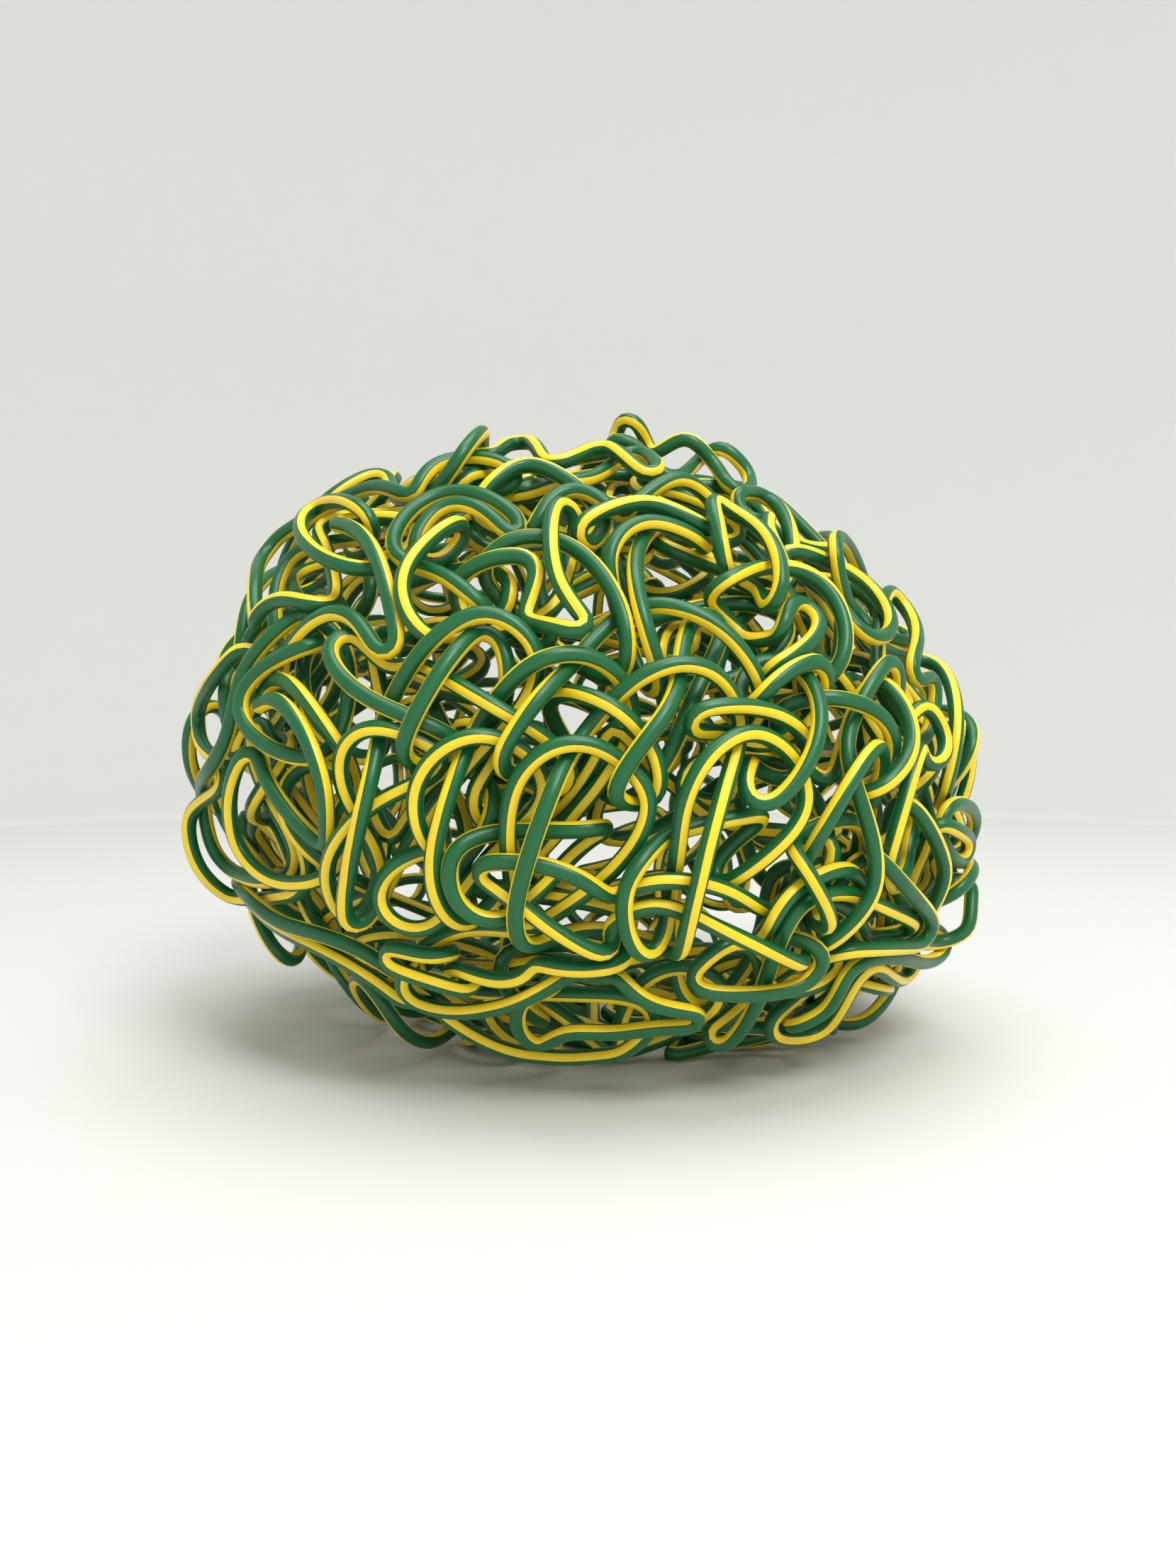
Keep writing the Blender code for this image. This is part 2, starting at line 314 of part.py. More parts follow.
        (-20, 154.5, -0.3), (-13, 150, -1.3), (-22, 146, -2.2), (-38, 142, -2.4), (-54, 141, -2.2),
        (-64, 141, -1.6)],
    "archTA11TA14": [
        (-29, 146, -0.9), (-25, 150, 0.1), (-19.5, 154, 0.3), (-13, 154.8, 0.4), (-7, 152.3, 0.3),
        (-1.5, 148.5, -0.5), (2.5, 145, -1.2), (6, 139, -1.7), (9, 138.5, -1.2), (7.5, 142.5, -0.3),
        (3.5, 146.5, 0.4), (-2, 148.6, 0.4), (-8.5, 147, 0.3), (-12.5, 142.5, 0), (-14.5, 137, -0.9),
        (-19, 135, -1.8), (-26, 138, -2), (-30, 142.5, -1.6)],
    "archTA1TA2": [
        (-4, 133.5, -0.9), (-2, 139.3, 0), (5, 142.8, 0.4), (14, 145, 0.5), (22, 143.8, 0.4),
        (29, 140.2, 0.2), (33, 137, -0.5), (36, 138, -1.3), (34.5, 143.5, -1.1), (31, 147.7, 0),
        (25.5, 150, 0.2), (19.5, 149, 0), (15, 145.5, -0.9), (9, 140, -1.7), (2, 134, -1.9),
        (-2, 131, -1.5)],
    "archTA3TA4": [
        (22.3, 148.3, -0.4), (19, 153.8, 0.4), (15.5, 158.3, 0.4), (11.5, 160, 0.2),
        (8.3, 158.3, -0.5), (4, 154, -1.4), (-2, 151, -1.6), (-5.5, 152.5, -0.8), (-3, 156.5, 0.1),
        (3, 158.8, 0.2), (9, 157, -0.1), (14, 153.7, -0.2), (18.3, 149.7, -0.9), (21.5, 145, -1.4),
        (24, 145, -1.1)],
    "spike": [
        (3.2, 160, -0.9), (2.5, 162.7, 0), (4.8, 163.9, 0.4), (9, 162.7, 0.4), (13, 160.3, -0.5),
        (17, 155.5, -1.4), (18.5, 157, -1.2), (16.8, 160, -0.6), (14.7, 165, 0.5), (13, 169.7, 1),
        (11.8, 171.6, 1.2), (10.3, 169.3, 1), (8.7, 164.5, -0.3), (7, 159, -1.5), (4.5, 157.5, -1.6)],
    "archTA7TA8": [
        (19.3, 155.5, -0.8), (21.3, 160, 0.1), (25.5, 162.3, 0.2), (30, 160.7, 0.2), (34, 155.7, 0.1),
        (37, 151, -0.6), (40.5, 146, -1.4), (43.7, 147.5, -0.9), (43.3, 152.7, 0), (40, 157.3, 0.1),
        (35.5, 159, 0), (31, 156.5, -0.8), (26, 151.5, -1.6), (21, 151, -1.6)],
    "archTA12TA13": [
        (-24.5, 155.5, -0.6), (-20.5, 160.2, 0), (-16, 161.4, 0.1), (-12, 158.7, 0),
        (-9.3, 154.5, -0.8), (-12, 149, -1.7), (-22, 148, -2), (-31, 150.5, -1.6), (-34, 156, -0.6),
        (-33.3, 159.6, 0), (-30.5, 160.3, 0), (-27.5, 157, -0.7)],
    "arcTR10": [
        (80, 121, -1), (83.5, 120, 0), (88, 113.5, 0.2), (89, 107, 0.2), (87.5, 101.5, 0),
        (84.5, 97.5, -0.8), (80, 95, -1.6), (78, 103, -2.2), (78, 113, -2)],
    "arcRT": [
        (86.3, 87, -0.9), (89.3, 94, 0), (92.3, 99, 0.2), (94.7, 96.5, 0), (94.3, 91, -0.8),
        (93.5, 84, -1.3), (88, 80, -1.8), (84.5, 82, -1.5)],
    "arcRT2": [
        (90, 92.5, -0.4), (94.3, 88.5, 0.2), (97, 82, 0.3), (96, 76, 0.3), (91.7, 71, 0),
        (87, 68, -0.9), (85, 76, -1.9), (87, 86, -1.5)],
    "strandDR": [
        (91.5, 79.3, 0.3), (89, 74.5, 0.5), (87, 67, 0.5), (84.5, 60, 0.4), (82, 53.5, 0.2),
        (79.5, 48, -0.6), (80, 42, -1.5), (86, 48, -2), (90, 60, -2), (92, 70, -1.2),
        (93, 76.5, -0.4)],
    "arcRight": [
        (85, 69, -0.7), (88, 65.5, 0.1), (92.5, 59.5, 0.4), (96.3, 52, 0.5), (97.5, 45, 0.5),
        (96, 39, 0.3), (93, 34.5, -0.5), (87, 34, -1.6), (84, 44, -2.2), (83, 56, -2), (83, 65, -1.5)],
    "hookSB": [
        (78, 50.5, -0.5), (82.5, 48, 0.2), (87.5, 42, 0.5), (92.5, 36, 0.6), (95, 31.5, 0.6),
        (93, 28, 0.6), (86, 25.5, 0.5), (77, 24.3, 0.3), (69, 23.3, -0.2), (63, 21, -1.2),
        (64, 30, -2.2), (70, 42, -2.3), (75, 49, -1.5)],
    "loopsRS": [
        (94, 61, -0.3), (100, 57.3, 0.3), (105.5, 52, 0.4), (106.5, 48.3, 0.2), (103, 47, -0.4),
        (99, 50, -1), (97, 56, -1.2), (99, 63, -0.8), (103.5, 64, -0.1), (106, 58, 0), (104, 52, -0.9),
        (98, 46, -1.6), (91, 50, -2), (90, 58, -1.2)],
    "loopRS3": [
        (93, 44.5, -0.5), (98, 45.3, 0), (104, 44, 0.2), (109.5, 41.8, 0.2), (109.5, 40, 0),
        (104, 39.5, -0.3), (105.5, 35, 0), (105.5, 30.5, 0.1), (101, 27.5, 0), (95, 27, -0.5),
        (89, 29, -1.5), (88, 38, -2)],
    "bottomLeft": [
        (-62, 28, -0.6), (-57, 24, 0.2), (-50, 20.5, 0.5), (-44, 19, 0.5), (-38, 17.5, 0.3),
        (-31, 15.5, -0.5), (-26, 18, -1.4), (-28, 24, -1), (-33, 24.5, 0.2), (-39, 22.8, 0.6),
        (-46, 22.4, 0.7), (-53, 24.2, 0.5), (-58, 28, -0.4), (-60, 33, -1.5)],
    "bottomArches": [
        (-38, 23, -0.8), (-34, 19, 0), (-28, 15.5, 0.3), (-21, 14.5, 0.4), (-14, 16, 0.2),
        (-11, 17.5, -0.4), (-10, 22, -1.4), (-14, 22, -0.8), (-16, 19.5, -0.1), (-12, 20.8, 0.4),
        (-6, 18, 0.5), (1, 17, 0.5), (8, 18.5, 0.3), (13, 21.5, -0.6), (10, 27, -1.6), (-5, 28, -2),
        (-22, 28, -2), (-34, 27, -1.5)],
    "bottomTongues": [
        (-20.5, 9, 0), (-14, 12, 0.6), (-7, 15.5, 0.4), (-2, 19, -0.8), (-8, 21, -1.6),
        (-24, 17, -1.8), (-38, 18, -1.8), (-45, 22, -0.8), (-48, 19, 0.3), (-50.5, 14.5, 0.4),
        (-48, 10.5, 0.3), (-44, 8.5, 0.4), (-38, 7, 0.4), (-30, 7, 0)],
    "bottomRim": [
        (-45, 16, -0.9), (-42, 9, 0.1), (-36, 4, 0.3), (-28, -1, 0.4), (-20, -4.5, 0.4),
        (-12, -5.5, 0.3), (-7, -5.5, 0.5), (-2, -7, 0.3), (2, -4.5, 0), (6, -6, 0.3), (11, -5, 0.5),
        (16, -0.5, 0.4), (20, 3.5, -0.3), (18, 9, -1.2), (6, 12, -1.8), (-14, 12, -2), (-32, 14, -2),
        (-42, 18, -1.6)],
    "bottomMiddle": [
        (-19, 8, -0.4), (-18.5, 2, 0.5), (-15, -2.5, 0.6), (-10.5, -3, 0.3), (-6, 1.5, 0.2),
        (2, 1.2, 0.2), (10, 0.5, 0.2), (18, 2, 0.4), (24, 3.2, 0.5), (32, 2, 0.5), (37, 3.5, 0.3),
        (38.5, 6, -0.4), (34, 9, -0.2), (25, 8.5, 0.3), (18, 10, 0.5), (13, 14, 0.4), (9, 19, -0.6),
        (2, 15, -1.6), (-8, 12, -1.8), (-16, 12, -1.2)],
    "bottomRight": [
        (53, -0.5, -0.4), (60, -0.5, 0.4), (66, 2, 0.5), (70, 7, 0.5), (73, 13, 0.3), (75.5, 18, -0.4),
        (79, 20.5, -0.2), (83, 17.5, 0.4), (88, 16.5, 0.5), (92, 19, 0.3), (91.5, 22.5, -0.6),
        (86, 22, -1.5), (76, 14, -1.8), (66, 8, -1.8), (56, 4, -1.4)],
    "lowerLeftRim": [
        (-95, 41, -0.9), (-92, 36.5, 0), (-84, 30, 0.4), (-75, 25.5, 0.4), (-66, 21, 0.3),
        (-58, 16, 0.5), (-51, 10.5, 0.5), (-46.5, 7, 0.2), (-43.5, 9.5, -0.6), (-48, 15, -0.9),
        (-56, 21.5, -0.3), (-65, 26.5, 0.1), (-74, 30, 0.3), (-83, 33.5, 0.2), (-88, 38, -0.5)],
    "lowerRightRim": [
        (50, 3, -0.8), (57, 3, 0.3), (64, 6, 0.6), (68, 11, 0.5), (69.5, 17, 0.2), (74, 21, -0.2),
        (81, 22.5, 0.3), (88, 21, 0.5), (95, 22, 0.4), (100, 26, -0.4), (96, 30, -1.2), (84, 27, -1.6),
        (72, 22, -1.9), (60, 12, -1.8)],
}

# Strands that run side by side, each group laid as one band that turns back out of sight.
joined_strands = [
    ("hookZ", "strandS2", "tongueA"),
    ("strandS3", "tongueE"),
    ("hookRound", "archG"),
    ("archTR2", "hookHK"),
    ("archTR1", "hairpinTR79"),
    ("spike", "archTA7TA8"),
    ("archTA3TA4", "archTA12TA13"),
    ("archTA11TA14", "archTA1TA2"),
    ("arcTR10", "arcRT", "arcRT2", "strandDR"),
    ("loopsRS", "loopRS3", "arcRight", "hookSB"),
    ("archP", "hairpinMHk"),
    ("hookV", "strandWArchX"),
    ("archQStrandU", "hookS0ArchR"),
    ("archDDLA1", "archLA3TA10"),
    ("loopBL34", "loopS56"),
    ("strandYA1", "strandYA2", "tongueP2", "hookRG"),
    ("strandS2R", "brightArc"),
    ("hookY", "strandEE", "strandCCLB1"),
    ("strandsAABB", "hookGG"),
    ("strandYY", "hairpinLX"),
    ("bottomArches", "bottomTongues", "bottomMiddle"),
    ("bottomLeft", "bottomRim", "lowerLeftRim"),
    ("bottomRight", "lowerRightRim"),
]


def join_strands(first, second):
    """Open both closed routes where their hidden parts lie closest, and run them together."""
    best = None
    for candidate in (second, second[::-1]):
        for i, a in enumerate(first):
            for j, b in enumerate(candidate):
                if a[2] > -0.8 or b[2] > -0.8:
                    continue
                a_next = first[(i + 1) % len(first)]
                b_next = candidate[(j + 1) % len(candidate)]
                cost = math.dist(a[:2], b_next[:2]) + math.dist(b[:2], a_next[:2])
                if best is None or cost < best[0]:
                    best = (cost, i, j, candidate)
    cost, i, j, candidate = best
    return first[i + 1:] + first[:i + 1] + candidate[j + 1:] + candidate[:j + 1]


tip = math.radians(shell_tip_degrees)
long_axis = np.array([math.cos(tip), 0.0, -math.sin(tip)])
depth_axis = np.array([0.0, 1.0, 0.0])
short_axis = np.array([math.sin(tip), 0.0, math.cos(tip)])
shell_axes = np.stack([long_axis, depth_axis, short_axis])
shell_sizes = np.array([shell_half_width, shell_half_depth, shell_half_height])
shell_centre = np.array([0.0, 0.0, shell_centre_height])


def to_unit_ball(points):
    return (points - shell_centre) @ shell_axes.T / shell_sizes


def from_unit_ball(points):
    return (points * shell_sizes) @ shell_axes + shell_centre


def outward(points):
    """The shell's outward direction at each point."""
    local = (points - shell_centre) @ shell_axes.T / shell_sizes ** 2
    normals = local @ shell_axes
    return normals / np.linalg.norm(normals, axis=1, keepdims=True)


def floor_height(layers):
    """The ball rests flat on the floor: its outermost strands there lie lowest."""
    return cord_radius + np.clip(1.0 - layers, 0.0, 3.5) * layer_step


def lay_on_front(route):
    """Carry a route along the lines of sight on to the shell, and in or out by its layers."""
    read = np.array(route, dtype=float)
    layers = read[:, 2]
    across = read[:, 0] * mm * shell_half_width / read_half_width
    up = (read[:, 1] * mm - read_centre_height) * shell_half_height / read_half_height
    on_plane = np.stack([across, np.full(len(read), -reading_plane_front), up + shell_centre_height], 1)
    sight = on_plane - front_eye
    sight /= np.linalg.norm(sight, axis=1, keepdims=True)
    start = to_unit_ball(front_eye[None, :])
    heading = (sight @ shell_axes.T) / shell_sizes
    heading_square = (heading ** 2).sum(1)
    nearest = -(start * heading).sum(1) / heading_square
    inside = nearest ** 2 - ((start ** 2).sum(1) - 1.0) / heading_square
    reach = nearest - np.sqrt(np.maximum(inside, 0.0))
    facing = -(outward(front_eye + sight * reach[:, None]) * sight).sum(1)
    hidden_depth = np.minimum(layers + hidden_layer, 0.0) * (1.0 / np.clip(facing, 0.45, 1.0) - 1.0)
    reach = reach - (layers + hidden_depth) * layer_step
    floor_reach = (eye_height - floor_height(layers)) / np.maximum(-sight[:, 2], 1e-6)
    reach = np.where(sight[:, 2] < 0.0, np.minimum(reach, floor_reach), reach)
    return front_eye + sight * reach[:, None]


def lobed_band(place, count, facing, shell_share, radius, lobes, wave_start):
    """One lobed band on the shell, its middle on a spiral of evenly spaced places."""
    depth = facing * (1.0 - (1.0 + spiral_overlap) * (place + 0.5) / count)
    turn = place * math.pi * (3.0 - math.sqrt(5.0))
    ring = math.sqrt(1.0 - depth ** 2)
    middle = from_unit_ball(np.array([[ring * math.cos(turn), depth, ring * math.sin(turn)]]))
    normal = outward(middle)[0]
    side = np.cross(normal, long_axis)
    side /= np.linalg.norm(side)
    rise = np.cross(normal, side)
    angles = np.linspace(0.0, 2.0 * math.pi, 12 * lobes, endpoint=False)
    reach = radius * (1.0 + lobe_share * np.cos(lobes * angles + wave_start))
    flat = middle + reach[:, None] * (np.cos(angles)[:, None] * side + np.sin(angles)[:, None] * rise)
    unit = to_unit_ball(flat)
    points = from_unit_ball(unit / np.linalg.norm(unit, axis=1, keepdims=True) * shell_share)
    layers = mean_layer + layer_swing * np.sin((lobes + 1) * angles + 2.0 * wave_start)
    points = points + outward(points) * (layers * layer_step)[:, None]
    points[:, 2] = np.maximum(points[:, 2], floor_height(layers))
    return points


def smooth_closed(points):
    """A smooth closed curve through the points, drawn at about 1 mm and softened at its bends."""
    after = np.roll(points, -1, axis=0)
    before = np.roll(points, 1, axis=0)
    after_next = np.roll(points, -2, axis=0)
    pieces = []
    for i in range(len(points)):
        count = max(2, int(np.linalg.norm(after[i] - points[i]) / mm))
        t = (np.arange(count) / count)[:, None]
        knots = [0.0]
        for a, b in ((before[i], points[i]), (points[i], after[i]), (after[i], after_next[i])):
            knots.append(knots[-1] + math.sqrt(max(np.linalg.norm(b - a), 1e-6)))
        span = knots[2] - knots[1]
        left = (points[i] - before[i]) / (knots[1] - knots[0])
        left = left - (after[i] - before[i]) / (knots[2] - knots[0]) + (after[i] - points[i]) / span
        right = (after[i] - points[i]) / span - (after_next[i] - points[i]) / (knots[3] - knots[1])
        right = right + (after_next[i] - after[i]) / (knots[3] - knots[2])
        left = left * span
        right = right * span
        square = 3.0 * (after[i] - points[i]) - 2.0 * left - right
        cube = 2.0 * (points[i] - after[i]) + left + right
        pieces.append(points[i] + left * t + square * t ** 2 + cube * t ** 3)
    curve = even_spacing(np.concatenate(pieces), mm)
    for softening in range(round(1.5 * (tightest_bend_radius / mm) ** 2)):
        curve = (np.roll(curve, 1, axis=0) + 2.0 * curve + np.roll(curve, -1, axis=0)) / 4.0
    return curve


def even_spacing(curve, spacing):
    closed = np.concatenate([curve, curve[:1]])
    along = np.concatenate([[0.0], np.cumsum(np.linalg.norm(np.diff(closed, axis=0), axis=1))])
    places = np.linspace(0.0, along[-1], max(8, round(along[-1] / spacing)), endpoint=False)
    return np.stack([np.interp(places, along, closed[:, k]) for k in range(3)], 1)


def few_points(curve, turn_per_point, length_per_point):
    """Fewer points: close together round the bends and far apart along the straights."""
    back = curve - np.roll(curve, 1, axis=0)
    ahead = np.roll(curve, -1, axis=0) - curve
    cosine = (back * ahead).sum(1) / (np.linalg.norm(back, axis=1) * np.linalg.norm(ahead, axis=1))
    turning = np.arccos(np.clip(cosine, -1.0, 1.0))
    turning = (turning + np.roll(turning, -1)) / 2.0
    effort = turning / turn_per_point + np.linalg.norm(ahead, axis=1) / length_per_point
    along = np.concatenate([[0.0], np.cumsum(effort)])
    places = np.linspace(0.0, along[-1], math.ceil(along[-1]), endpoint=False)
    closed = np.concatenate([curve, curve[:1]])
    return np.stack([np.interp(places, along, closed[:, k]) for k in range(3)], 1)


def closest_on_segments(a, b, c, d):
    """How far along a-b and c-d their closest points lie, as shares."""
    first = b - a
    second = d - c
    across = a - c
    first_square = np.maximum((first ** 2).sum(1), 1e-14)
    second_square = np.maximum((second ** 2).sum(1), 1e-14)
    both = (first * second).sum(1)
    on_first = (first * across).sum(1)
    on_second = (second * across).sum(1)
    spread = first_square * second_square - both ** 2
    crossing = (both * on_second - on_first * second_square) / np.maximum(spread, 1e-16)
    s = np.where(spread > 1e-16, crossing, 0.5)
    s = np.clip(s, 0.0, 1.0)
    t = np.clip((both * s + on_second) / second_square, 0.0, 1.0)
    s = np.clip((both * t - on_first) / first_square, 0.0, 1.0)
    t = np.clip((both * s + on_second) / second_square, 0.0, 1.0)
    return s, t


def near_pairs(points, following, owner, reach):
    """Pairs of segments that may touch, leaving out neighbours along one bend."""
    ends = points[following]
    middles = (points + ends) / 2.0
    lengths = np.linalg.norm(ends - points, axis=1)
    one, two = np.triu_indices(len(points), 1)
    apart = np.linalg.norm(middles[one] - middles[two], axis=1)
    close = apart < (lengths[one] + lengths[two]) / 2.0 + reach
    one, two, apart = one[close], two[close], apart[close]
    along = np.concatenate([[0.0], np.cumsum(lengths)])
    starts = np.array([np.flatnonzero(owner == k)[0] for k in range(owner.max() + 1)])
    finishes = np.append(starts[1:], len(points))
    whole = along[finishes] - along[starts]
    gap_ahead = along[two] - along[one + 1]
    gap_behind = whole[owner[one]] - (along[two + 1] - along[one])
    same = owner[one] == owner[two]
    bend = same & (np.minimum(gap_ahead, gap_behind) < bend_span)
    return one[~bend], two[~bend]


def settle(bands):
    """Push crossing bands apart until each pair of strands clears by the gap."""
    counts = [len(band) for band in bands]
    owner = np.repeat(np.arange(len(bands)), counts)
    starts = np.concatenate([[0], np.cumsum(counts)])[:-1]
    index = np.arange(sum(counts))
    following = index + 1
    following[np.append(starts[1:], len(index)) - 1] = starts
    leading = np.empty_like(index)
    leading[following] = index
    points = np.concatenate(bands)
    first_places = points.copy()
    sight = first_places - front_eye
    sight /= np.linalg.norm(sight, axis=1, keepdims=True)
    bent = points - (points[leading] + points[following]) / 2.0
    wanted = layer_step + settled_margin
    for turn in range(settling_rounds):
        calm = turn > holding_share * settling_rounds
        if turn % 6 == 0:
            one, two = near_pairs(points, following, owner, wanted + watch_distance)
        one_end, two_end = following[one], following[two]
        s, t = closest_on_segments(points[one], points[one_end], points[two], points[two_end])
        here = points[one] + (points[one_end] - points[one]) * s[:, None]
        there = points[two] + (points[two_end] - points[two]) * t[:, None]
        apart = here - there
        distance = np.linalg.norm(apart, axis=1)
        along_gap = apart / np.maximum(distance, 1e-7)[:, None]
        direction = np.where(distance[:, None] > 1e-7, along_gap, outward(here))
        short = wanted - distance
        hit = short > 0.0
        shares = np.stack([1.0 - s, s, 1.0 - t, t], 1)
        amount = np.where(hit, short, 0.0) / (shares ** 2).sum(1)
        move = np.zeros_like(points)
        pressed = np.zeros(len(points))
        corners = ((one, 0, 1.0), (one_end, 1, 1.0), (two, 2, -1.0), (two_end, 3, -1.0))
        for ends, share, sign in corners:
            np.add.at(move, ends[hit], sign * (amount * shares[:, share])[hit, None] * direction[hit])
            np.add.at(pressed, ends[hit], shares[hit, share])
        points = points + move / np.maximum(pressed, 1.0)[:, None] * push_share
        points = points + bend_share * ease_bends(points, leading, following)
        if not calm:
            now_bent = points - (points[leading] + points[following]) / 2.0
            points = points - shape_share * (now_bent - bent)
            drift = first_places - points
            in_sight = (drift * sight).sum(1)[:, None] * sight
            points = points + across_sight_share * (drift - in_sight) + along_sight_share * in_sight
            for pair in lonely_bands(owner, one, two, distance):
                pull = direction[pair] * (distance[pair] - wanted) * lonely_share
                points[one[pair]] -= pull
                points[one_end[pair]] -= pull
                points[two[pair]] += pull
                points[two_end[pair]] += pull
        points[:, 2] = np.maximum(points[:, 2], cord_radius)
    tight = np.abs(ease_bends(points, leading, following)).sum(1) > 0.0
    print("closest strands", round(float(distance.min()) / mm, 3), "mm")
    print("segments", len(points), "with bends still tight", tight.sum())
    return [points[start:start + count] for start, count in zip(starts, counts)]


def lonely_bands(owner, one, two, distance):
    """For each band that touches no other yet, the pair of segments where it comes closest."""
    others = owner[one] != owner[two]
    pairs = []
    for band in range(owner.max() + 1):
        mine = np.flatnonzero(others & ((owner[one] == band) | (owner[two] == band)))
        if len(mine) == 0:
            continue
        nearest = mine[np.argmin(distance[mine])]
        if distance[nearest] > layer_step + lonely_margin:
            pairs.append(nearest)
    return pairs


def ease_bends(points, leading, following):
    """How far to move each point whose bend is too tight for the cord's thickness."""
    back = points - points[leading]
    ahead = points[following] - points
    back_length = np.linalg.norm(back, axis=1)
    ahead_length = np.linalg.norm(ahead, axis=1)
    cosine = np.clip((back * ahead).sum(1) / (back_length * ahead_length), -0.9, 1.0)
    half_tangent = np.sqrt((1.0 - cosine) / (1.0 + cosine))
    room = bend_room_share * np.minimum(back_length, ahead_length)
    tight = cord_radius * half_tangent > room
    towards = (points[leading] + points[following]) / 2.0 - points
    return np.where(tight[:, None], towards, 0.0)


def make_band(name, points, cord_skin, home):
    curve = bpy.data.curves.new(name, "CURVE")
    curve.dimensions = "3D"
    curve.bevel_depth = cord_radius
    curve.bevel_resolution = 1
    curve.use_fill_caps = True
    spline = curve.splines.new("POLY")
    spline.points.add(len(points) - 1)
    for place, point in zip(spline.points, points):
        place.co = (point[0], point[1], point[2], 1.0)
    spline.use_cyclic_u = True
    spline.use_smooth = True
    curve.materials.append(cord_skin)
    band = bpy.data.objects.new(name, curve)
    home.objects.link(band)
    return band


cord_skin = bpy.data.materials.new("green_yellow_cord")
cord_skin.use_nodes = True
shader = cord_skin.node_tree.nodes["Principled BSDF"]
shader.inputs["Base Color"].default_value = (0.025, 0.24, 0.10, 1.0)
shader.inputs["Roughness"].default_value = 0.42
shader.inputs["Metallic"].default_value = 0.0

ball = bpy.data.collections.new("band_ball")
bpy.context.scene.collection.children.link(ball)

joined = {name for group in joined_strands for name in group}
front_routes = []
for group in joined_strands:
    route = routes[group[0]]
    for name in group[1:]:
        route = join_strands(route, routes[name])
    front_routes.append(route)
front_routes += [route for name, route in routes.items() if name not in joined]
chance = np.random.default_rng(layout_seed)
laid = [lay_on_front(route) for route in front_routes]
for place in range(back_band_count):
    wave_start = chance.uniform(0.0, 2.0 * math.pi)
    laid.append(lobed_band(place, back_band_count, 1.0, 1.0, back_band_radius, back_lobes, wave_start))
for place in range(inner_band_count):
    wave_start = chance.uniform(0.0, 2.0 * math.pi)
    laid.append(lobed_band(place, inner_band_count, -1.0, inner_share, inner_band_radius,
                           inner_lobes, wave_start))
drawn = []
for number, points in enumerate(laid):
    if number < len(front_routes):
        drawn.append(few_points(smooth_closed(points), front_turn_per_point, front_length_per_point))
    else:
        drawn.append(few_points(smooth_closed(points), far_turn_per_point, far_length_per_point))
settled = settle(drawn)

everything = np.concatenate(settled)
middle_x = (everything[:, 0].min() + everything[:, 0].max()) / 2.0
middle_y = (everything[:, 1].min() + everything[:, 1].max()) / 2.0
to_origin = np.array([middle_x, middle_y, everything[:, 2].min() - cord_radius])
for number, points in enumerate(settled):
    make_band(f"band_{number + 1:02d}", points - to_origin, cord_skin, ball)
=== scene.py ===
import math

import bmesh
import bpy
import numpy as np
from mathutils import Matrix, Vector, kdtree


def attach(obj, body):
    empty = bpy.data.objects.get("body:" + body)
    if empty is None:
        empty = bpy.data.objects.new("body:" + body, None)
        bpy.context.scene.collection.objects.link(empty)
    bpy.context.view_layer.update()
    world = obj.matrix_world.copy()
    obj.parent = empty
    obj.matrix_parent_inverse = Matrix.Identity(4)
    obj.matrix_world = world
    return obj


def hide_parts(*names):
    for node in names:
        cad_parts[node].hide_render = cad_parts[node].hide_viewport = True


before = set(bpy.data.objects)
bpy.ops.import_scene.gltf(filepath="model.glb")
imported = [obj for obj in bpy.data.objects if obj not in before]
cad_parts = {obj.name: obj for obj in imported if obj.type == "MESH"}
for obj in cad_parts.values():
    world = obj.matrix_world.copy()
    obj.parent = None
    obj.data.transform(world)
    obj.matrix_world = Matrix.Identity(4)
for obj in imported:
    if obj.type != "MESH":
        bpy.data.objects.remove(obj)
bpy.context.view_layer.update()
print("frame loaded:", len(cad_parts), "bands")

mm = 0.001
goldenTurn = math.pi * (3.0 - math.sqrt(5.0))

# The cord: round, 3.7 mm thick, green with two opposite yellow stripes.
cord = {
    "radius": 1.85 * mm,
    "clearance": 0.12 * mm,
    "radiusSlack": 0.03 * mm,
    "mergeDistance": 0.004 * mm,
    "sameMiddle": 0.06 * mm,
    "ringSpacing": 1.5 * mm,
    "fineSpacing": 0.5 * mm,
    "stepsPerPiece": 24,
    "softenRounds": 30,
    "longestStep": 40.0 * mm,
    "turnWindow": 5.0 * mm,
    "tightRadius": 8.5 * mm,
    "easeBlend": 16,
    "easeRounds": 140,
    "sides": 20,
    "settleRounds": 160,
    "watchDistance": 1.5 * mm,
    "watchEvery": 10,
    "reportEvery": 40,
    "firmGive": 0.12,
    "slideLimit": 0.8 * mm,
    "pushShare": 1.9,
    "pushSpread": 4,
    "shapeShare": 0.3,
    "neighboursSkipped": 5,
    "floorHeight": 1.85 * mm,
    "halfTurnEvery": 260.0 * mm,
    "lengthPerV": 20.0 * mm,
    "twistSeed": 11,
    "sideFrom": (0.2, 0.3, 0.93),
}

